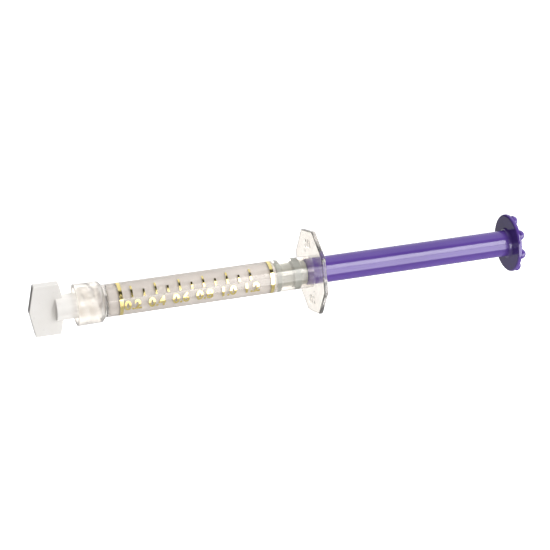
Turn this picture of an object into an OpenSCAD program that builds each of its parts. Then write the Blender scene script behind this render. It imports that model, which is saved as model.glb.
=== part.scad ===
// Prefilled oral syringe with a Luer-lock tip, cap on and plunger fully drawn back.
// The syringe lies along X: tip towards -X, thumb pad towards +X.
// The origin is on the axis, at the mouth of the Luer-lock collar. Sizes are in millimetres.

/* [Barrel] */
// Outer diameter of the barrel tube
barrel_d = 7.75; // [7.4:0.05:8]
// Wall thickness of the barrel tube
barrel_wall = 0.55; // [0.5:0.05:0.6]
// Distance from the collar's mouth to the barrel's rear end
barrel_length = 58.7; // [56:0.1:64]
// Distance from the collar's mouth to the front end of the bore
bore_front = 7.2; // [7:0.1:8]

/* [Luer-lock tip] */
// Outer diameter of the collar at its mouth
collar_d = 9.85; // [9.6:0.05:10.2]
// Length of the collar
collar_length = 6.45; // [6.2:0.05:6.8]
// Depth of the annular gap between the collar and the nozzle
collar_depth = 5.5; // [5:0.1:5.6]
// Diameter at the root of the collar's internal thread
thread_root_d = 8.0; // [7.9:0.05:8.1]
// Distance that the nozzle stands out of the collar's mouth
nozzle_reach = 2.2; // [2.1:0.1:2.6]
// Diameter of the nozzle at its tip; its taper is 6 percent
nozzle_tip_d = 3.95; // [3.93:0.01:3.99]
// Diameter of the channel through the nozzle
channel_d = 1.6; // [1:0.1:2]

/* [Finger flange] */
// Distance across the flats of the octagonal flange
flange_flats = 20; // [17:0.1:21]
// Thickness of the flange
flange_thickness = 1.05; // [0.9:0.05:1.5]

/* [Tip cap] */
// Height of the flat grip tab, across the axis
tab_height = 13.2; // [10:0.1:14]
// Length of the tab's upper and lower edges
tab_edge = 6.0; // [5:0.1:7]
// Length of the tab along the axis, from point to point
tab_length = 8.5; // [7.5:0.1:9]
// Thickness of the tab
tab_thickness = 1.9; // [1.5:0.1:2.4]
// Angle at which the tab stops when the cap is screwed home
tab_angle = 20; // [0:1:90]
// Outer diameter of the cap's hub
hub_d = 6.0; // [5.8:0.1:6.4]
// Length of the hub outside the collar
hub_reach = 4.7; // [4.2:0.1:5.2]

/* [Plunger] */
// Radial clearance between the plunger rod and the bore
rod_clearance = 0.085; // [0.06:0.005:0.12]
// Diameter of the thumb pad
pad_d = 14.4; // [12:0.1:16]
// Thickness of the thumb pad
pad_thickness = 1.0; // [0.8:0.05:1.4]
// Distance between the flange and the thumb pad with the plunger drawn back
draw = 51.1; // [44:0.1:56]
// Number of grip bumps on the thumb pad
bump_count = 8; // [6:1:10]
// Diameter of each grip bump
bump_d = 2.6; // [2:0.1:3]

/* [Stopper and contents] */
// Distance from the stopper's front face to the barrel's rear end
stopper_depth = 10.5; // [9:0.1:12]
// Length of the stopper
stopper_length = 8.0; // [7.5:0.1:8.4]
// Radial running gap between moving pieces
running_gap = 0.03; // [0.01:0.01:0.08]

/* [Foil marks] */
// Width of each foil band round the barrel
band_width = 0.9; // [0.6:0.05:1.5]
// Thickness of the foil
foil_thickness = 0.03; // [0.02:0.01:0.05]
// Volume of the last graduation, in millilitres
scale_volume = 1.2; // [0.8:0.1:1.2]

/* [Hidden] */

smooth = 96;
barrel_r = barrel_d / 2;
bore_r = barrel_r - barrel_wall;
channel_r = channel_d / 2;

collar_r = collar_d / 2;
collar_draft = 0.08;
collar_chamfer = 0.7;
mouth_chamfer = 0.3;
thread_root_r = thread_root_d / 2;

luer_taper = 0.06;
nozzle_length = collar_depth + nozzle_reach;
nozzle_tip_r = nozzle_tip_d / 2;
nozzle_root_r = nozzle_tip_r + nozzle_length * luer_taper / 2;

flange_front = barrel_length - flange_thickness;
stopper_front = barrel_length - stopper_depth;
stopper_rear = stopper_front + stopper_length;
pad_front = barrel_length + draw;

rod_r = bore_r - rod_clearance;
rod_chamfer = 0.3;
rod_front = stopper_rear + running_gap;
pad_r = pad_d / 2;
pad_edge = 0.25;
pad_fillet = 0.6;
bump_r = bump_d / 2;
bump_ring_r = 0.845 * pad_r;

nose_neck_r = 1.4;
nose_barb_r = 1.9;
nose_tip_r = 1.1;
nose_length = 4.6;
nose_barb_length = 1.9;
nose_barb_back = 0.5;

rib_r = bore_r - running_gap;
waist_r = rib_r - 0.5;
rib_blend = 0.4;
front_rib = 1.4;
rear_rib_start = 4.2;
rear_rib_end = 6.4;

hub_r = hub_d / 2;
hub_end_gap = 0.6;
hub_end = collar_depth - hub_end_gap;
socket_end = -nozzle_reach - hub_end_gap;
lug_r = thread_root_r - 0.1;
lug_length = 1.0;
lug_width = 2.6;
tab_centre = -hub_reach - tab_edge / 2 + 1.1;

foil_r = barrel_r + foil_thickness;
band_front_centre = 10.3;
band_rear_centre = stopper_front - 1.1;
mark_step = 100 / (PI * bore_r * bore_r);
first_mark = 2;
mark_count = round(scale_volume * 10);
mark_width = 0.35;
long_mark = 3.6;
short_mark = 1.8;

// A solid turned about the X axis from its outline, a list of [x, radius] points
module turned(outline) {
    rotate([0, 90, 0])
        rotate_extrude($fn = smooth)
            polygon([for (p = outline) [p[1], p[0]]]);
}

// A round bar on the X axis
module bar(start, end, r) {
    translate([start, 0, 0])
        rotate([0, 90, 0])
            cylinder(r = r, h = end - start, $fn = smooth);
}

// The barrel is one moulding: nozzle, lock collar, tube and octagonal finger flange
module barrel() {
    color("whitesmoke", 0.35)
    union() {
        turned([
            [-nozzle_reach, channel_r],
            [-nozzle_reach, nozzle_tip_r],
            [collar_depth, nozzle_root_r],
            [collar_depth, thread_root_r],
            [mouth_chamfer, thread_root_r],
            [0, thread_root_r + mouth_chamfer],
            [0, collar_r],
            [collar_length - collar_chamfer, collar_r - collar_draft],
            [collar_length, collar_r - collar_draft - collar_chamfer],
            [collar_length, barrel_r],
            [barrel_length, barrel_r],
            [barrel_length, bore_r + barrel_wall / 2],
            [barrel_length - barrel_wall, bore_r],
            [bore_front, bore_r],
            [bore_front, channel_r]
        ]);
        difference() {
            translate([flange_front, 0, 0])
                rotate([0, 90, 0])
                    rotate([0, 0, 22.5])
                        cylinder(d = flange_flats / cos(22.5), h = flange_thickness, $fn = 8);
            bar(flange_front - 1, barrel_length + 1, barrel_r - barrel_wall / 4);
        }
    }
}

// The cap: a six-sided flat grip tab on a round hub with a tapered socket and two lock lugs
module tip_cap() {
    color("ivory", 0.7)
    rotate([tab_angle, 0, 0])
    difference() {
        union() {
            translate([tab_centre, tab_thickness / 2, 0])
                rotate([90, 0, 0])
                    linear_extrude(tab_thickness)
                        polygon([
                            [-tab_edge / 2, -tab_height / 2],
                            [tab_edge / 2, -tab_height / 2],
                            [tab_length / 2, 0],
                            [tab_edge / 2, tab_height / 2],
                            [-tab_edge / 2, tab_height / 2],
                            [-tab_length / 2, 0]
                        ]);
            bar(-hub_reach, hub_end, hub_r);
            intersection() {
                bar(hub_end - lug_length, hub_end, lug_r);
                translate([hub_end - lug_length, -lug_width / 2, -lug_r])
                    cube([lug_length, lug_width, 2 * lug_r]);
            }
        }
        turned([
            [socket_end, 0],
            [socket_end, nozzle_tip_r - hub_end_gap * luer_taper / 2 + running_gap],
            [hub_end + 1, nozzle_root_r + (1 - hub_end_gap) * luer_taper / 2 + running_gap],
            [hub_end + 1, 0]
        ]);
    }
}

// Half a ball on the rear face of the thumb pad
module grip_bump() {
    intersection() {
        translate([pad_front + pad_thickness, 0, bump_ring_r])
            sphere(r = bump_r, $fn = smooth / 2);
        translate([pad_front + pad_thickness / 2, -bump_d, bump_ring_r - bump_d])
            cube(2 * bump_d);
    }
}

// The plunger is one moulding: barbed nose, round rod and thumb pad with grip bumps
module plunger() {
    color("slateblue")
    union() {
        turned([
            [rod_front - nose_length, 0],
            [rod_front - nose_length, nose_tip_r],
            [rod_front - nose_length + nose_barb_length, nose_barb_r],
            [rod_front - nose_length + nose_barb_length + nose_barb_back, nose_neck_r],
            [rod_front, nose_neck_r],
            [rod_front, rod_r - rod_chamfer],
            [rod_front + rod_chamfer, rod_r],
            [pad_front - pad_fillet, rod_r],
            [pad_front, rod_r + pad_fillet],
            [pad_front, pad_r - pad_edge],
            [pad_front + pad_edge, pad_r],
            [pad_front + pad_thickness - pad_edge, pad_r],
            [pad_front + pad_thickness, pad_r - pad_edge],
            [pad_front + pad_thickness, 0]
        ]);
        for (i = [0 : bump_count - 1])
            rotate([(i + 0.5) * 360 / bump_count, 0, 0])
                grip_bump();
    }
}

// The silicone stopper: two sealing ribs outside, a socket for the plunger's nose inside
module stopper() {
    nose_front = rod_front - nose_length;
    color("lightgray", 0.8)
    turned([
        [stopper_front, 0],
        [stopper_front, waist_r],
        [stopper_front + rib_blend, rib_r],
        [stopper_front + front_rib, rib_r],
        [stopper_front + front_rib + rib_blend, waist_r],
        [stopper_front + rear_rib_start, waist_r],
        [stopper_front + rear_rib_start + rib_blend, rib_r],
        [stopper_front + rear_rib_end, rib_r],
        [stopper_front + rear_rib_end + rib_blend, waist_r],
        [stopper_rear, waist_r],
        [stopper_rear, nose_neck_r + running_gap],
        [nose_front + nose_barb_length + nose_barb_back, nose_neck_r + running_gap],
        [nose_front + nose_barb_length, nose_barb_r + running_gap],
        [nose_front - running_gap, nose_tip_r + running_gap],
        [nose_front - running_gap, 0]
    ]);
}

// The contents fill the bore ahead of the stopper, and the nozzle's channel
module putty() {
    color("mistyrose")
    turned([
        [-nozzle_reach + running_gap, 0],
        [-nozzle_reach + running_gap, channel_r - running_gap],
        [bore_front + running_gap, channel_r - running_gap],
        [bore_front + running_gap, rib_r],
        [stopper_front - running_gap, rib_r],
        [stopper_front - running_gap, 0]
    ]);
}

// A strip of foil round the barrel
module foil_ring(start, width) {
    difference() {
        bar(start, start + width, foil_r);
        bar(start - 1, start + width + 1, barrel_r);
    }
}

// Foil band near the tip
module foil_band_front() {
    color("gold")
        foil_ring(band_front_centre - band_width / 2, band_width);
}

// Foil band just ahead of the stopper
module foil_band_rear() {
    color("gold")
        foil_ring(band_rear_centre - band_width / 2, band_width);
}

// Graduations every 0.1 millilitre on the side of the barrel, long ones every 0.2
module foil_scale() {
    color("gold")
    for (i = [first_mark : mark_count]) {
        mark_x = bore_front + i * mark_step;
        mark_height = i % 2 == 0 ? long_mark : short_mark;
        intersection() {
            foil_ring(mark_x - mark_width / 2, mark_width);
            translate([mark_x - mark_width, -2 * barrel_r, -mark_height / 2])
                cube([2 * mark_width, 2 * barrel_r, mark_height]);
        }
    }
}

barrel();
tip_cap();
plunger();
stopper();
putty();
foil_band_front();
foil_band_rear();
foil_scale();
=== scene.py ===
"""Looks of the oral syringe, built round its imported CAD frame. Lengths are in metres."""

import math

import bmesh
import bpy
from mathutils import Matrix, Vector
from mathutils import noise as perlin


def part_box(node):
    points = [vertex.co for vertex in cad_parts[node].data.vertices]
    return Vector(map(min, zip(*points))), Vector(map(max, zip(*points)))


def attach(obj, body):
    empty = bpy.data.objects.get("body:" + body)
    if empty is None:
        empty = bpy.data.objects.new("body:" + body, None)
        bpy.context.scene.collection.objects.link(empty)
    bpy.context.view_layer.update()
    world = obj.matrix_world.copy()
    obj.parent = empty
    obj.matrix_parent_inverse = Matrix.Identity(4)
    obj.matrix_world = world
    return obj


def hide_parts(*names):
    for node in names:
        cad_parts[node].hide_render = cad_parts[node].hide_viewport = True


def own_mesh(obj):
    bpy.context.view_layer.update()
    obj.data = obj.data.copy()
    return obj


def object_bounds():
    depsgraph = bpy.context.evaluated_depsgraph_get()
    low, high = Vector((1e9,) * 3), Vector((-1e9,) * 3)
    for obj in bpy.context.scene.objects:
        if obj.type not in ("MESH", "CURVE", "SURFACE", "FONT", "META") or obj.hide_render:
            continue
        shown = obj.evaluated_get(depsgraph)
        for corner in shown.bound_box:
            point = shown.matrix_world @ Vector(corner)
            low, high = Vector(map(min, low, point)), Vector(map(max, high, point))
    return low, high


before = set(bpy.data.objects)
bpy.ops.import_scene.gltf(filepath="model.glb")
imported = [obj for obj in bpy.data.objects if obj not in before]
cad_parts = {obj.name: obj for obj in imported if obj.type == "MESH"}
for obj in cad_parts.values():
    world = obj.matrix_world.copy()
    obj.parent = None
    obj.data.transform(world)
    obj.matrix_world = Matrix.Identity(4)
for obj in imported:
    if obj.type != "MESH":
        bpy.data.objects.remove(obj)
cad_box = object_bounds()

MM = 0.001
SEGMENTS = 144

# ---------------------------------------------------------------- places, from the frame

barrel_low, barrel_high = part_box("barrel")
cap_low, cap_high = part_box("tip_cap")
plunger_low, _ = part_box("plunger")
stopper_low, stopper_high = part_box("stopper")
band_front_low, band_front_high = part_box("foil_band_front")
band_rear_low, band_rear_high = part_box("foil_band_rear")

FOIL_THICKNESS = 0.03 * MM
FOIL_ROOT = 0.005 * MM
RUNNING_GAP = 0.03 * MM

barrel_r = band_front_high.z - FOIL_THICKNESS
bore_r = stopper_high.z + RUNNING_GAP
barrel_end = barrel_high.x
nozzle_tip = barrel_low.x
bore_front = 7.2 * MM
channel_r = 0.8 * MM
collar_r = 4.925 * MM
collar_draft = 0.08 * MM
collar_length = 6.45 * MM
collar_depth = 5.5 * MM
collar_chamfer = 0.7 * MM
thread_root_r = 4.0 * MM
thread_crest_r = 3.5 * MM
thread_lead = 5.0 * MM
nozzle_tip_r = 1.975 * MM
nozzle_root_r = 2.206 * MM
flange_half = barrel_high.z
flange_thickness = 1.05 * MM

hub_r = 3.0 * MM
hub_start = -4.7 * MM
hub_end = cap_high.x
lug_centre = hub_end - 0.5 * MM
tab_angle = math.radians(20)
tab_thickness = 1.9 * MM
tab_height = 13.2 * MM
tab_edge = 6.0 * MM
tab_length = 8.5 * MM
tab_centre = cap_low.x + tab_length / 2

rod_r = bore_r - 0.085 * MM
pad_r = 7.2 * MM
pad_thickness = 1.0 * MM
pad_front = barrel_end + 51.1 * MM
bump_r = 1.3 * MM
bump_ring_r = 0.845 * pad_r
bump_count = 8
nose_front = plunger_low.x
nose_tip_r = 1.1 * MM
barb_front = nose_front + 1.9 * MM
barb_back = nose_front + 2.4 * MM
barb_r = 1.9 * MM
neck_r = 1.4 * MM
stopper_front = stopper_low.x
stopper_rear = stopper_high.x
rod_front = stopper_rear + RUNNING_GAP


# ---------------------------------------------------------------- mesh tools


def rounded(corners, steps=6):
    """The points of a closed outline whose (x, radius, fillet) corners are rounded by arcs."""
    points = []
    for i, (x, r, fillet) in enumerate(corners):
        corner = Vector((x, r))
        if fillet <= 0:
            points.append(corner)
            continue
        back = Vector(corners[i - 1][:2]) - corner
        ahead = Vector(corners[(i + 1) % len(corners)][:2]) - corner
        half = back.angle(ahead) / 2
        reach = min(fillet / math.tan(half), 0.48 * back.length, 0.48 * ahead.length)
        radius = reach * math.tan(half)
        middle = (back.normalized() + ahead.normalized()).normalized()
        centre = corner + middle * (radius / math.sin(half))
        start = corner + back.normalized() * reach - centre
        end = corner + ahead.normalized() * reach - centre
        turn = math.atan2(start.x * end.y - start.y * end.x, start.dot(end))
        for k in range(steps + 1):
            a = turn * k / steps
            points.append(centre + Vector((
                start.x * math.cos(a) - start.y * math.sin(a),
                start.x * math.sin(a) + start.y * math.cos(a),
            )))
    return [(p.x, p.y) for p in points]


def link(name, data):
    """A new object that holds the mesh, text, lamp or camera data, in the scene."""
    obj = bpy.data.objects.new(name, data)
    bpy.context.scene.collection.objects.link(obj)
    return obj


def from_bmesh(name, bm):
    """An object from bm, with its faces turned outwards."""
    bmesh.ops.recalc_face_normals(bm, faces=bm.faces)
    mesh = bpy.data.meshes.new(name)
    bm.to_mesh(mesh)
    bm.free()
    return link(name, mesh)


def lathe(name, outline, segments=SEGMENTS):
    """A solid turned about the X axis from a closed outline of (x, radius) points."""
    bm = bmesh.new()
    rings = []
    for x, r in outline:
        if r < 1e-7:
            rings.append([bm.verts.new((x, 0, 0))])
            continue
        turns = [2 * math.pi * i / segments for i in range(segments)]
        rings.append([bm.verts.new((x, r * math.cos(a), r * math.sin(a))) for a in turns])
    for one, two in zip(rings, rings[1:] + rings[:1]):
        if len(one) == 1 and len(two) == 1:
            continue
        for i in range(segments):
            j = (i + 1) % segments
            around = [one[i % len(one)], one[j % len(one)], two[j % len(two)], two[i % len(two)]]
            corners = []
            for v in around:
                if v not in corners:
                    corners.append(v)
            bm.faces.new(corners)
    return from_bmesh(name, bm)


def prism(name, outline, low, high, matrix):
    """A solid from an (u, v) outline between two heights along w, placed by matrix."""
    bm = bmesh.new()
    floor = [bm.verts.new(matrix @ Vector((u, v, low))) for u, v in outline]
    roof = [bm.verts.new(matrix @ Vector((u, v, high))) for u, v in outline]
    bm.faces.new(floor)
    bm.faces.new(roof)
    for i in range(len(outline)):
        j = (i + 1) % len(outline)
        bm.faces.new([floor[i], floor[j], roof[j], roof[i]])
    return from_bmesh(name, bm)


def helix(name, section, start, end, centre_at, steps=96, fade=0.0):
    """A ridge swept round the X axis from angle start to end, from (x, radius) section points.

    Its height over the section's first point fades in and out over that share of the sweep."""
    bm = bmesh.new()
    base_r = section[0][1]
    rings = []
    for i in range(steps + 1):
        share = i / steps
        angle = start + (end - start) * share
        grown = 1.0 if fade == 0 else min(1, share / fade + 0.02, (1 - share) / fade + 0.02)
        ring = []
        for x, r in section:
            height = base_r + (r - base_r) * grown
            here = Vector((centre_at(angle) + x, height * math.cos(angle), height * math.sin(angle)))
            ring.append(bm.verts.new(here))
        rings.append(ring)
    for one, two in zip(rings, rings[1:]):
        for i in range(len(section)):
            j = (i + 1) % len(section)
            bm.faces.new([one[i], one[j], two[j], two[i]])
    bm.faces.new(rings[0])
    bm.faces.new(rings[-1])
    return from_bmesh(name, bm)


def settle(obj):
    """Applies obj's modifiers to its mesh."""
    graph = bpy.context.evaluated_depsgraph_get()
    graph.update()
    obj.data = bpy.data.meshes.new_from_object(obj.evaluated_get(graph))
    obj.modifiers.clear()


def combine(obj, others, operation="UNION"):
    """Joins the other solids to obj, or cuts them from it, and removes them."""
    for other in others:
        step = obj.modifiers.new("combine", "BOOLEAN")
        step.operation = operation
        step.solver = "EXACT"
        step.object = other
        settle(obj)
        bpy.data.objects.remove(other)
    return obj


def soften_edges(obj, width, angle=35, segments=3):
    """Rounds edges that are sharper than angle degrees."""
    bevel = obj.modifiers.new("soften", "BEVEL")
    bevel.width = width
    bevel.segments = segments
    bevel.limit_method = "ANGLE"
    bevel.angle_limit = math.radians(angle)
    bevel.use_clamp_overlap = True
    settle(obj)


def smooth(obj, angle=30):
    """Smooth shading that keeps flat faces flat, and edges sharper than angle degrees crisp."""
    for face in obj.data.polygons:
        face.use_smooth = True
    obj.data.set_sharp_from_angle(angle=math.radians(angle))
    weigh = obj.modifiers.new("weigh", "WEIGHTED_NORMAL")
    weigh.keep_sharp = True
    settle(obj)


def finish_piece(obj, material, body, node=None):
    """Gives a piece its material and its body, and hides the CAD node that it stands for."""
    obj.data.materials.clear()
    obj.data.materials.append(material)
    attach(obj, body)
    if node:
        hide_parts(node)
    return obj


# ---------------------------------------------------------------- materials


class Paint:
    """A node material built round one Principled shader."""

    def __init__(self, name):
        self.material = bpy.data.materials.new(name)
        self.material.use_nodes = True
        self.tree = self.material.node_tree
        self.shader = self.tree.nodes["Principled BSDF"]
        self.place = self.tree.nodes.new("ShaderNodeTexCoord").outputs["Object"]

    def set(self, **values):
        """Sets the shader's own sockets; a name's underscores stand for spaces."""
        for name, value in values.items():
            self.shader.inputs[name.replace("_", " ")].default_value = value
        return self

    def noise(self, size, detail=3.0, stretch=(1, 1, 1)):
        """A noise value whose features are about size metres across."""
        scale = self.tree.nodes.new("ShaderNodeMapping")
        scale.inputs["Scale"].default_value = [s / size for s in stretch]
        self.tree.links.new(self.place, scale.inputs["Vector"])
        texture = self.tree.nodes.new("ShaderNodeTexNoise")
        texture.inputs["Scale"].default_value = 1.0
        texture.inputs["Detail"].default_value = detail
        self.tree.links.new(scale.outputs["Vector"], texture.inputs["Vector"])
        return texture.outputs["Fac"]

    def ramp(self, value, low, high, start=0.3, end=0.7):
        """value between start and end, mapped to a colour between low and high."""
        ramp = self.tree.nodes.new("ShaderNodeValToRGB")
        ramp.color_ramp.elements[0].position = start
        ramp.color_ramp.elements[0].color = (*low, 1)
        ramp.color_ramp.elements[1].position = end
        ramp.color_ramp.elements[1].color = (*high, 1)
        self.tree.links.new(value, ramp.inputs["Fac"])
        return ramp.outputs["Color"]

    def range(self, value, low, high):
        """value from 0.25 to 0.75, mapped to a number between low and high."""
        node = self.tree.nodes.new("ShaderNodeMapRange")
        node.inputs["From Min"].default_value = 0.25
        node.inputs["From Max"].default_value = 0.75
        node.inputs["To Min"].default_value = low
        node.inputs["To Max"].default_value = high
        self.tree.links.new(value, node.inputs["Value"])
        return node.outputs["Result"]

    def feed(self, name, output):
        """Links output to the shader's socket."""
        self.tree.links.new(output, self.shader.inputs[name])
        return self

    def axis(self, name):
        """The X, Y or Z of the place on the surface, in metres."""
        parts = self.tree.nodes.new("ShaderNodeSeparateXYZ")
        self.tree.links.new(self.place, parts.inputs[0])
        return parts.outputs[name]

    def step(self, value, start, end):
        """A smooth step from 0 where value is start to 1 where it is end."""
        node = self.tree.nodes.new("ShaderNodeMapRange")
        node.interpolation_type = "SMOOTHSTEP"
        node.inputs["From Min"].default_value = start
        node.inputs["From Max"].default_value = end
        self.tree.links.new(value, node.inputs["Value"])
        return node.outputs["Result"]

    def math(self, operation, *values):
        """A math node on outputs and plain numbers."""
        node = self.tree.nodes.new("ShaderNodeMath")
        node.operation = operation
        for socket, value in zip(node.inputs, values):
            if isinstance(value, (int, float)):
                socket.default_value = value
            else:
                self.tree.links.new(value, socket)
        return node.outputs[0]

    def ray(self, name):
        """1 for the named kind of ray."""
        return self.tree.nodes.new("ShaderNodeLightPath").outputs[name]

    def mix_in(self, shader, factor):
        """Mixes another shader into the surface by a factor."""
        surface = self.tree.nodes["Material Output"].inputs["Surface"]
        mix = self.tree.nodes.new("ShaderNodeMixShader")
        self.tree.links.new(factor, mix.inputs[0])
        self.tree.links.new(surface.links[0].from_socket, mix.inputs[1])
        self.tree.links.new(shader, mix.inputs[2])
        self.tree.links.new(mix.outputs[0], surface)
        return self

    def let_lamps_through(self, share, colour):
        """Lets a share of the lamps' light pass straight through, so that it reaches what is behind."""
        clear = self.tree.nodes.new("ShaderNodeBsdfTransparent")
        clear.inputs["Color"].default_value = (*colour, 1)
        return self.mix_in(clear.outputs[0], self.math("MULTIPLY", self.ray("Is Shadow Ray"), share))

    def absorb(self, colour, density):
        """Tints light by its way through the solid: density is per metre."""
        volume = self.tree.nodes.new("ShaderNodeVolumeAbsorption")
        volume.inputs["Color"].default_value = (*colour, 1)
        volume.inputs["Density"].default_value = density
        self.tree.links.new(volume.outputs[0], self.tree.nodes["Material Output"].inputs["Volume"])
        return self

    def bump(self, value, height, strength=1.0):
        """Raises the surface by up to height metres where value is high."""
        bump = self.tree.nodes.new("ShaderNodeBump")
        bump.inputs["Strength"].default_value = strength
        bump.inputs["Distance"].default_value = height
        self.tree.links.new(value, bump.inputs["Height"])
        self.tree.links.new(bump.outputs["Normal"], self.shader.inputs["Normal"])
        return self


def clear_plastic():
    """Clear moulded plastic with faint flow lines, frosted on the collar and greyer the longer its way."""
    paint = Paint("clear_plastic").set(Transmission_Weight=0.98, IOR=1.49)
    flow = paint.noise(6 * MM, detail=2, stretch=(0.25, 1, 1))
    paint.feed("Base Color", paint.ramp(flow, (0.945, 0.91, 0.86), (0.97, 0.945, 0.905)))
    frosted = paint.step(paint.axis("X"), collar_length + 0.6 * MM, collar_length)
    polish = paint.range(paint.noise(2 * MM), 0.09, 0.16)
    paint.feed("Roughness", paint.math("MULTIPLY_ADD", frosted, 0.18, polish))
    paint.bump(flow, 0.012 * MM, strength=0.5)
    paint.absorb((0.5, 0.48, 0.50), 45)
    return paint.let_lamps_through(0.62, (0.96, 0.94, 0.91)).material


def cap_plastic():
    """Milky natural plastic with a satin moulded face."""
    paint = Paint("cap_plastic").set(IOR=1.5)
    cloud = paint.noise(4 * MM, detail=4)
    paint.feed("Base Color", paint.ramp(cloud, (0.86, 0.83, 0.79), (0.90, 0.875, 0.84)))
    paint.feed("Roughness", paint.range(paint.noise(1.5 * MM), 0.26, 0.38))
    paint.bump(paint.noise(3 * MM, detail=1), 0.015 * MM, strength=0.5)
    return paint.let_lamps_through(0.5, (0.95, 0.93, 0.90)).material


def purple_plastic():
    """Glossy purple plastic with a faint moulded texture."""
    paint = Paint("purple_plastic").set(IOR=1.52)
    cloud = paint.noise(7 * MM, detail=3, stretch=(0.4, 1, 1))
    paint.feed("Base Color", paint.ramp(cloud, (0.094, 0.047, 0.272), (0.114, 0.059, 0.31)))
    paint.feed("Roughness", paint.range(paint.noise(2.5 * MM), 0.10, 0.17))
    paint.bump(paint.noise(2.5 * MM, detail=2, stretch=(0.3, 1, 1)), 0.006 * MM, strength=0.6)
    return paint.material


def silicone():
    """Smooth grey silicone, wet with oil."""
    paint = Paint("silicone").set(IOR=1.43)
    cloud = paint.noise(2.5 * MM, detail=3)
    paint.feed("Base Color", paint.ramp(cloud, (0.345, 0.355, 0.325), (0.415, 0.425, 0.39)))
    paint.feed("Roughness", paint.range(paint.noise(1.5 * MM), 0.14, 0.24))
    paint.bump(paint.noise(2.0 * MM, detail=2), 0.012 * MM, strength=0.5)
    return paint.material


def putty():
    """Pale paste with a faint mottle and fine pores."""
    paint = Paint("putty").set(IOR=1.45, Specular_IOR_Level=0.15)
    mottle = paint.noise(3 * MM, detail=5, stretch=(0.5, 1, 1))
    paint.feed("Base Color", paint.ramp(mottle, (0.655, 0.61, 0.58), (0.705, 0.665, 0.64)))
    paint.feed("Roughness", paint.range(paint.noise(0.6 * MM), 0.4, 0.6))
    paint.bump(paint.noise(0.6 * MM, detail=4), 0.015 * MM, strength=0.6)
    return paint.material


def gold_foil():
    """Hot-stamped gold foil with a slightly rumpled shine."""
    paint = Paint("gold_foil").set(Metallic=1.0)
    rumple = paint.noise(0.9 * MM, detail=3)
    paint.feed("Base Color", paint.ramp(rumple, (0.87, 0.69, 0.25), (0.98, 0.85, 0.42)))
    paint.feed("Roughness", paint.range(paint.noise(0.5 * MM), 0.08, 0.18))
    paint.bump(rumple, 0.03 * MM)
    return paint.material


CLEAR = clear_plastic()
CAP = cap_plastic()
PURPLE = purple_plastic()
SILICONE = silicone()
PUTTY = putty()
GOLD = gold_foil()


# ---------------------------------------------------------------- pieces


def lug_place(angle):
    """Where along X the middle of a cap lug's channel lies at an angle round the axis."""
    return lug_centre + thread_lead * (angle - tab_angle - math.pi / 2) / (2 * math.pi)


def thread_ridge(shift):
    """One start of the collar's right-handed thread, a quarter of a turn's lead off the lugs."""
    offset = shift - thread_lead / 4
    first, last = 0.55 * MM, collar_depth - 0.25 * MM
    base, crest = 0.6 * MM, 0.22 * MM
    skin = thread_root_r + 0.12 * MM

    def centre_at(angle):
        return lug_place(angle) + offset

    def angle_at(x):
        return tab_angle + math.pi / 2 + (x - offset - lug_centre) * 2 * math.pi / thread_lead

    section = [(-base, skin), (-base, thread_root_r), (-crest, thread_crest_r),
               (crest, thread_crest_r), (base, thread_root_r), (base, skin)]
    return helix("thread", section, angle_at(first), angle_at(last), centre_at, fade=0.12)


def mould_marks(to_x):
    """Small raised bars and pips on the flange's front face, as a mould's cavity marks are."""
    face = barrel_end - flange_thickness
    rise, root, fillet = 0.22 * MM, 0.1 * MM, 0.2 * MM
    # How far across and up from the axis, how wide and how high, in millimetres
    bars = [(-1.6, 6.8, 0.6, 2.1), (-0.4, 6.8, 0.6, 2.1)]
    pips = [(1.2, 6.2, 0.8, 0.8), (1.2, 7.5, 0.8, 0.8), (2.3, 5.0, 0.8, 0.8)]
    marks = []
    for side in (1, -1):
        for across, up, width, height in bars + pips:
            u, v = across * MM * side, up * MM * side
            du, dv = width * MM / 2, height * MM / 2
            corners = [(u - du, v - dv, fillet), (u + du, v - dv, fillet),
                       (u + du, v + dv, fillet), (u - du, v + dv, fillet)]
            marks.append(prism("mark", rounded(corners, steps=3), face - rise, face + root, to_x))
    return marks


def make_barrel():
    """The clear barrel: nozzle, threaded collar, tube and octagonal finger flange in one mesh."""
    tube = lathe("barrel_shell", rounded([
        (nozzle_tip, channel_r, 0.08 * MM),
        (nozzle_tip, nozzle_tip_r, 0.15 * MM),
        (collar_depth, nozzle_root_r, 0.25 * MM),
        (collar_depth, thread_root_r, 0.2 * MM),
        (0, thread_root_r, 0.2 * MM),
        (0, collar_r, 0.15 * MM),
        (collar_length - collar_chamfer, collar_r - collar_draft, 0.25 * MM),
        (collar_length, collar_r - collar_draft - collar_chamfer, 0.15 * MM),
        (collar_length, barrel_r, 0.12 * MM),
        (barrel_end, barrel_r, 0),
        (barrel_end, bore_r, 0.2 * MM),
        (bore_front, bore_r, 0.5 * MM),
        (bore_front, channel_r, 0.15 * MM),
    ]))
    corner_r = flange_half / math.cos(math.pi / 8)
    turns = [math.pi / 8 + i * math.pi / 4 for i in range(8)]
    outline = [(corner_r * math.cos(a), corner_r * math.sin(a), 0.8 * MM) for a in turns]
    to_x = Matrix(((0, 0, 1), (1, 0, 0), (0, 1, 0))).to_4x4()
    flange = prism("flange", rounded(outline, steps=5), barrel_end - flange_thickness, barrel_end, to_x)
    soften_edges(flange, 0.28 * MM, angle=50, segments=4)
    hole_r, hole_reach = barrel_r - 0.2 * MM, 4 * MM
    hole = lathe("hole", [(barrel_end - hole_reach, 0), (barrel_end - hole_reach, hole_r),
                          (barrel_end + hole_reach, hole_r), (barrel_end + hole_reach, 0)])
    combine(flange, [hole], "DIFFERENCE")
    combine(flange, mould_marks(to_x))
    ridges = [thread_ridge(0), thread_ridge(thread_lead / 2)]
    combine(tube, [flange, *ridges])
    smooth(tube, 32)
    return finish_piece(tube, CLEAR, "barrel", "barrel")


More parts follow.
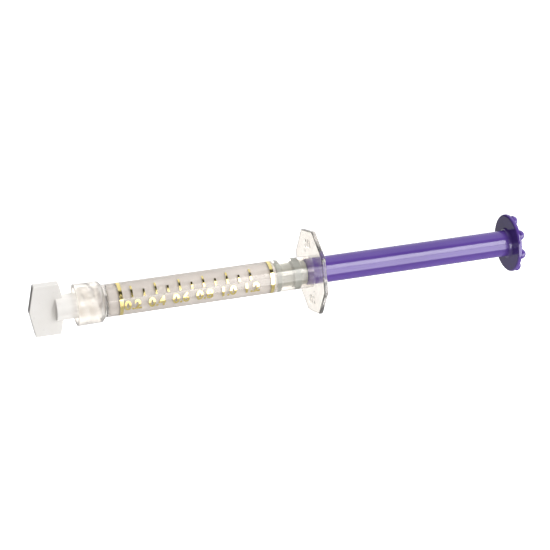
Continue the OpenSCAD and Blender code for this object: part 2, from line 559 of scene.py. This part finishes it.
def make_cap():
    """The cap: six-sided grip tab, hub with a tapered socket, and two lock lugs."""
    half_edge, half_height = tab_edge / 2, tab_height / 2
    outline = [
        (-half_edge, -half_height, 0.35 * MM), (half_edge, -half_height, 0.35 * MM),
        (tab_length / 2, 0, 0.35 * MM), (half_edge, half_height, 0.35 * MM),
        (-half_edge, half_height, 0.35 * MM), (-tab_length / 2, 0, 0.35 * MM),
    ]
    face_on = Matrix.Translation((tab_centre, 0, 0)) @ Matrix.Rotation(math.pi / 2, 4, "X")
    cap = prism("cap_shell", rounded(outline, steps=4), -tab_thickness / 2, tab_thickness / 2, face_on)
    soften_edges(cap, 0.22 * MM, angle=50)
    end_room = 0.6 * MM
    taper_shift = RUNNING_GAP - 0.03 * end_room
    socket_end = nozzle_tip - end_room
    hub = lathe("hub", rounded([
        (hub_start, 0, 0),
        (hub_start, hub_r, 0.2 * MM),
        (hub_end, hub_r, 0.15 * MM),
        (hub_end, nozzle_root_r + taper_shift, 0.1 * MM),
        (socket_end, nozzle_tip_r + taper_shift, 0.15 * MM),
        (socket_end, 0, 0),
    ]))
    combine(cap, [hub])
    lug_root_r, lug_crest_r = hub_r - 0.2 * MM, thread_root_r - 0.2 * MM
    lug_section = [(-0.45 * MM, lug_root_r), (-0.42 * MM, hub_r), (-0.25 * MM, lug_crest_r),
                   (0.25 * MM, lug_crest_r), (0.42 * MM, hub_r), (0.45 * MM, lug_root_r)]
    reach = math.radians(20)
    for side in (0, 1):
        middle = math.pi / 2 + side * math.pi

        def along(angle, middle=middle):
            return lug_centre + thread_lead * (angle - middle) / (2 * math.pi)

        lug = helix("lug", lug_section, middle - reach, middle + reach, along, steps=16, fade=0.15)
        combine(cap, [lug])
    cap.data.transform(Matrix.Rotation(tab_angle, 4, "X"))
    smooth(cap, 32)
    return finish_piece(cap, CAP, "cap", "tip_cap")


def make_plunger():
    """The purple plunger: barbed nose, rod, and thumb pad with its grip bumps."""
    rod = lathe("plunger_rod", rounded([
        (nose_front, 0, 0),
        (nose_front, nose_tip_r, 0.2 * MM),
        (barb_front, barb_r, 0.12 * MM),
        (barb_back, neck_r, 0.12 * MM),
        (rod_front, neck_r, 0.15 * MM),
        (rod_front, rod_r, 0.3 * MM),
        (pad_front, rod_r, 0.7 * MM),
        (pad_front, pad_r, 0.48 * MM),
        (pad_front + pad_thickness, pad_r, 0.3 * MM),
        (pad_front + pad_thickness, 0, 0),
    ]))
    bumps = []
    back, root_depth, root_r = pad_front + pad_thickness, 0.3 * MM, bump_r - 0.2 * MM
    profile = [(back - root_depth, 0), (back - root_depth, root_r), (back, bump_r)]
    profile += [(back + bump_r * math.sin(a), bump_r * math.cos(a))
                for a in [math.pi / 2 * k / 10 for k in range(1, 10)]]
    profile += [(back + bump_r, 0)]
    for i in range(bump_count):
        bump = lathe("bump", profile, segments=40)
        turn = 2 * math.pi * (i + 0.5) / bump_count
        bump.data.transform(Matrix.Rotation(turn, 4, "X") @ Matrix.Translation((0, 0, bump_ring_r)))
        bumps.append(bump)
    combine(rod, bumps)
    smooth(rod, 35)
    return finish_piece(rod, PURPLE, "plunger", "plunger")


def make_stopper():
    """The silicone stopper, its two ribs pressed against the bore."""
    wall = bore_r + 0.004 * MM
    waist = bore_r - 0.5 * MM
    gap = RUNNING_GAP
    front = stopper_front
    stopper = lathe("stopper_body", rounded([
        (front, 0, 0),
        (front, waist + 0.25 * MM, 0.25 * MM),
        (front + 0.35 * MM, wall, 0.2 * MM),
        (front + 1.4 * MM, wall, 0.25 * MM),
        (front + 1.8 * MM, waist, 0.3 * MM),
        (front + 4.2 * MM, waist, 0.3 * MM),
        (front + 4.6 * MM, wall, 0.25 * MM),
        (front + 6.4 * MM, wall, 0.25 * MM),
        (front + 6.8 * MM, waist, 0.3 * MM),
        (stopper_rear, waist, 0.2 * MM),
        (stopper_rear, neck_r + gap, 0.1 * MM),
        (barb_back, neck_r + gap, 0),
        (barb_front, barb_r + gap, 0),
        (nose_front - gap, nose_tip_r + gap, 0),
        (nose_front - gap, 0, 0),
    ]))
    smooth(stopper, 35)
    return finish_piece(stopper, SILICONE, "stopper", "stopper")


def make_putty():
    """The contents: the fill of the bore, which the plunger squashes, and that of the channel."""
    wetted = bore_r + 0.01 * MM
    fill = lathe("putty_fill", rounded([
        (bore_front + RUNNING_GAP, 0, 0),
        (bore_front + RUNNING_GAP, wetted, 0.5 * MM),
        (stopper_front - 0.01 * MM, wetted, 0),
        (stopper_front - 0.01 * MM, 0, 0),
    ]))
    smooth(fill, 35)
    finish_piece(fill, PUTTY, "barrel", "putty")
    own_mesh(fill)
    bead = lathe("putty_channel", rounded([
        (nozzle_tip + 0.1 * MM, 0, 0),
        (nozzle_tip + 0.1 * MM, channel_r + 0.01 * MM, 0.1 * MM),
        (bore_front + 0.1 * MM, channel_r + 0.01 * MM, 0),
        (bore_front + 0.1 * MM, 0, 0),
    ]), segments=48)
    smooth(bead, 35)
    finish_piece(bead, PUTTY, "barrel")


def foil_band(name, low, high, node, seed):
    """A gold band round the barrel whose two edges waver a little, as stamped foil's do."""
    bm = bmesh.new()
    inner, outer = barrel_r - FOIL_ROOT, barrel_r + FOIL_THICKNESS
    edge_inset, edge_waver = 0.03 * MM, 0.045 * MM
    rings = []
    count = 240
    for i in range(count):
        a = 2 * math.pi * i / count
        around = Vector((seed, 9 * math.cos(a), 9 * math.sin(a)))
        x0 = low + edge_inset + edge_waver * perlin.noise(around)
        x1 = high - edge_inset + edge_waver * perlin.noise(around + Vector((7, 0, 0)))
        section = [(x0, inner), (x0, outer), (x1, outer), (x1, inner)]
        rings.append([bm.verts.new((x, r * math.cos(a), r * math.sin(a))) for x, r in section])
    for one, two in zip(rings, rings[1:] + rings[:1]):
        for i in range(4):
            j = (i + 1) % 4
            bm.faces.new([one[i], one[j], two[j], two[i]])
    band = from_bmesh(name, bm)
    smooth(band, 35)
    return finish_piece(band, GOLD, "barrel", node)


def wrap(mesh, centre_angle):
    """Bends a flat (x, height, thickness) mesh round the barrel. centre_angle is from -Y, upwards."""
    for v in mesh.vertices:
        angle = centre_angle + v.co.y / barrel_r
        r = barrel_r + v.co.z
        v.co = Vector((v.co.x, -r * math.cos(angle), r * math.sin(angle)))


def cut_strips(bm, low, high, step):
    """Cuts a flat mesh by lines along X, step apart, so that it can bend."""
    count = int((high - low) / step) + 2
    for i in range(count):
        everything = [*bm.verts, *bm.edges, *bm.faces]
        bmesh.ops.bisect_plane(bm, geom=everything, plane_co=(0, low + i * step, 0), plane_no=(0, 1, 0))


def flat_foil(bm):
    """Gives a flat sheet in the XY plane the foil's thickness."""
    sheet = bmesh.ops.extrude_face_region(bm, geom=list(bm.faces))
    lifted = [g for g in sheet["geom"] if isinstance(g, bmesh.types.BMVert)]
    bmesh.ops.translate(bm, verts=lifted, vec=(0, 0, FOIL_THICKNESS + FOIL_ROOT))
    bmesh.ops.translate(bm, verts=list(bm.verts), vec=(0, 0, -FOIL_ROOT))


def numeral(words, height):
    """A flat mesh of numerals, centred on the origin, height metres tall."""
    curve = bpy.data.curves.new("numeral", "FONT")
    curve.body = words
    curve.align_x = "CENTER"
    curve.align_y = "CENTER"
    curve.resolution_u = 4
    size_per_height, boldness = 1.4, 0.05
    curve.size = height * size_per_height
    curve.offset = boldness * height
    text = link("numeral", curve)
    bpy.context.view_layer.update()
    mesh = bpy.data.meshes.new_from_object(text.evaluated_get(bpy.context.evaluated_depsgraph_get()))
    bpy.data.objects.remove(text)
    return mesh


def make_scale():
    """Gold graduations every 0.1 millilitre, with a numeral at every 0.2."""
    step = 100 * MM**3 / (math.pi * bore_r**2)
    bm = bmesh.new()
    tick, low_edge = 0.46 * MM, -0.1 * MM
    long_tick, short_tick = 2.9 * MM, 1.7 * MM
    for i in range(2, 13):
        x = bore_front + i * step
        high_edge = low_edge + (long_tick if i % 2 == 0 else short_tick)
        corners = [(x - tick / 2, low_edge), (x + tick / 2, low_edge),
                   (x + tick / 2, high_edge), (x - tick / 2, high_edge)]
        bm.faces.new([bm.verts.new((u, v, 0)) for u, v in corners])
    for i in range(2, 13, 2):
        mesh = numeral(f"{i / 10:.1f}", 2.4 * MM)
        mesh.transform(Matrix.Translation((bore_front + i * step, -2.15 * MM, 0)))
        bm.from_mesh(mesh)
        bpy.data.meshes.remove(mesh)
    cut_strips(bm, -4 * MM, 4 * MM, 0.25 * MM)
    flat_foil(bm)
    scale = from_bmesh("gold_scale", bm)
    wrap(scale.data, math.radians(9))
    smooth(scale, 35)
    return finish_piece(scale, GOLD, "barrel", "foil_scale")


make_barrel()
make_cap()
make_plunger()
make_stopper()
make_putty()
foil_band("gold_band_front", band_front_low.x, band_front_high.x, "foil_band_front", 1.5)
foil_band("gold_band_rear", band_rear_low.x, band_rear_high.x, "foil_band_rear", 4.5)
make_scale()


# ---------------------------------------------------------------- stage, light and camera

FLOOR_Z = cad_box[0].z


def sweep_paint():
    """Pale translucent paper, which lamps below it shine through.

    It shows white. For other rays its glow is painted light: mirrored rays find it bright in front of the
    syringe, a painted reflection, and dim close behind, refracted rays find it dimmer in front and far to
    the right, scattered rays find it dim all over, and none of them finds any light past the tip's side, so
    that gloss and clear edges have something to show."""
    paint = Paint("pale_sweep").set(Specular_IOR_Level=0.2, Roughness=0.6, Emission_Color=(1, 1, 1, 1),
                                    Emission_Strength=0.75)
    paint.feed("Base Color", paint.ramp(paint.noise(0.4), (0.90, 0.90, 0.90), (0.93, 0.93, 0.93)))
    x, y = paint.axis("X"), paint.axis("Y")
    lit = paint.step(x, -0.10, 0.0)
    # Painted reflection: for mirrored rays the floor in front of the syringe glows 5.6 strong, so the rod,
    # pad and foil show a bright lower highlight
    front_reflection_glow = paint.math("MULTIPLY", paint.step(y, -0.0105, -0.0125), paint.step(x, 0.0, 0.06))
    mirrored = paint.math("MULTIPLY_ADD", paint.step(y, 0.15, 0.4), 0.5, 0.55)
    mirrored = paint.math("MULTIPLY", paint.math("MULTIPLY_ADD", front_reflection_glow, 5.6, mirrored), lit)
    beyond = paint.math("MULTIPLY_ADD", paint.step(y, -0.15, 0.02), 0.65, 0.35)
    refracted = paint.math("MULTIPLY_ADD", paint.step(x, 0.8, 1.3), -0.4, 1.35)
    refracted = paint.math("MULTIPLY", paint.math("MULTIPLY", beyond, refracted), lit)
    is_mirrored = paint.math("MULTIPLY", paint.ray("Is Glossy Ray"), paint.ray("Is Reflection Ray"))
    is_scattered = paint.math("MINIMUM", paint.ray("Diffuse Depth"), 1)
    for kind, strength, colour in (
        (paint.ray("Is Transmission Ray"), refracted, (1.0, 0.975, 0.94)),
        (is_mirrored, mirrored, (1, 1, 1)),
        (is_scattered, paint.math("MULTIPLY", lit, 0.25), (1, 1, 1)),
    ):
        glow = paint.tree.nodes.new("ShaderNodeEmission")
        glow.inputs["Color"].default_value = (*colour, 1)
        paint.tree.links.new(strength, glow.inputs["Strength"])
        paint.mix_in(glow.outputs[0], kind)
    paint.material.cycles.emission_sampling = "NONE"
    return paint.let_lamps_through(1.0, (1, 1, 1)).material


def make_stage():
    """A pale floor that sweeps up into a backdrop."""
    bm = bmesh.new()
    wall_y, sweep, top, half_width = 1.3, 0.6, 2.2, 3.5
    path = [(-3.0, FLOOR_Z), (-0.3, FLOOR_Z), (0.3, FLOOR_Z)]
    for k in range(17):
        a = math.pi / 2 * k / 16
        path.append((wall_y - sweep + sweep * math.sin(a), FLOOR_Z + sweep - sweep * math.cos(a)))
    path.append((wall_y, top))
    columns = [[bm.verts.new((x, y, z)) for y, z in path] for x in (-half_width, half_width)]
    for i in range(len(path) - 1):
        bm.faces.new([columns[0][i], columns[1][i], columns[1][i + 1], columns[0][i + 1]])
    sweep_obj = from_bmesh("pale_sweep", bm)
    for face in sweep_obj.data.polygons:
        face.use_smooth = True
    sweep_obj.data.materials.append(sweep_paint())


def softbox(name, location, target, width, height, radiance, shines=True, fade=0):
    """A rectangular area light of a given brightness that faces target, and may show in gloss.

    It fades to none towards -X over that share of its width."""
    light = bpy.data.lights.new(name, "AREA")
    light.shape = "RECTANGLE"
    light.size = width
    light.size_y = height
    light.energy = radiance * math.pi * width * height
    if fade:
        light.use_nodes = True
        tree = light.node_tree
        place = tree.nodes.new("ShaderNodeSeparateXYZ")
        tree.links.new(tree.nodes.new("ShaderNodeNewGeometry").outputs["Parametric"], place.inputs[0])
        grow = tree.nodes.new("ShaderNodeMapRange")
        grow.inputs["From Max"].default_value = fade
        tree.links.new(place.outputs["X"], grow.inputs["Value"])
        tree.links.new(grow.outputs["Result"], tree.nodes["Emission"].inputs["Strength"])
    lamp = link(name, light)
    lamp.location = location
    lamp.visible_glossy = shines
    lamp.rotation_euler = (Vector(target) - Vector(location)).to_track_quat("-Z", "Y").to_euler()


def make_camera():
    """The photograph's view: from the tip's side, a little above, turned slightly."""
    distance = 371.5 * MM
    foot_x = -58.8 * MM
    elevation = math.radians(9)
    turn = math.radians(16.16)
    roll = math.radians(8.2)
    place = Vector((foot_x, -distance * math.cos(elevation), distance * math.sin(elevation)))
    aim = Vector((foot_x + distance * math.tan(turn), 0.05 * MM, 0.31 * MM))
    ahead = (aim - place).normalized()
    right = (Vector((1, 0, 0)) - ahead * ahead.x).normalized()
    up = right.cross(ahead)
    turned_right = right * math.cos(roll) - up * math.sin(roll)
    turned_up = right * math.sin(roll) + up * math.cos(roll)
    camera = link("camera", bpy.data.cameras.new("camera"))
    camera.data.sensor_width = 36
    camera.data.lens = 105.4
    camera.data.clip_start = 0.01
    rotation = Matrix((turned_right, turned_up, -ahead)).transposed().to_4x4()
    camera.matrix_world = Matrix.Translation(place) @ rotation
    bpy.context.scene.camera = camera


def make_world():
    """A dim surround, darker towards the tip's side and in front, that the camera sees as pale."""
    world = bpy.data.worlds.new("surround")
    world.use_nodes = True
    tree = world.node_tree
    parts = tree.nodes.new("ShaderNodeSeparateXYZ")
    tree.links.new(tree.nodes.new("ShaderNodeTexCoord").outputs["Generated"], parts.inputs[0])
    path = tree.nodes.new("ShaderNodeLightPath")

    def ranged(output, start, end, low, high):
        node = tree.nodes.new("ShaderNodeMapRange")
        for name, value in {"From Min": start, "From Max": end, "To Min": low, "To Max": high}.items():
            node.inputs[name].default_value = value
        tree.links.new(output, node.inputs["Value"])
        return node.outputs["Result"]

    def joined(operation, *values):
        node = tree.nodes.new("ShaderNodeMath")
        node.operation = operation
        for socket, value in zip(node.inputs, values):
            tree.links.new(value, socket)
        return node.outputs[0]

    x, y = parts.outputs["X"], parts.outputs["Y"]
    scattered = path.outputs["Diffuse Depth"]
    mirrored = joined("MULTIPLY", path.outputs["Is Glossy Ray"], path.outputs["Is Reflection Ray"])
    mirrored = joined("MULTIPLY", mirrored, ranged(x, -0.7, 0.1, 0.1, 1.0))
    mirrored = joined("MULTIPLY", mirrored, ranged(y, -0.5, -0.35, 0.05, 1.0))
    refracted = joined("MULTIPLY", path.outputs["Is Transmission Ray"], ranged(scattered, 0, 1, 1, 0))
    refracted = joined("MULTIPLY", refracted, ranged(x, -0.7, 0.1, 0.1, 0.6))
    diffuse = joined("MULTIPLY", ranged(scattered, 0, 1, 0, 1), ranged(x, -0.7, 0.1, 0.1, 0.35))
    strength = path.outputs["Is Camera Ray"]
    for share in (mirrored, refracted, diffuse):
        strength = joined("ADD", strength, share)
    tree.links.new(strength, tree.nodes["Background"].inputs["Strength"])
    tree.nodes["Background"].inputs["Color"].default_value = (0.96, 0.98, 1.0, 1)
    bpy.context.scene.world = world


make_stage()
softbox("key", (0.245, -0.475, 0.159), (0.245, 0, 0), 0.25, 0.30, 9.2, fade=0.45)
softbox("top", (0.30, -0.05, 0.55), (0.06, 0, 0), 0.6, 0.6, 1.75, shines=False)
softbox("table", (0.28, -0.08, -0.50), (0.06, 0, 0), 0.6, 0.5, 4.0, shines=False)
softbox("front", (-0.02, -0.58, 0.08), (0.03, 0, 0), 0.5, 0.4, 1.7, shines=False)
softbox("rear", (0.35, 0.60, 0.35), (0.06, 0, 0), 0.6, 0.6, 1.5, shines=False)
make_world()
make_camera()
bpy.context.scene.view_settings.view_transform = "Standard"
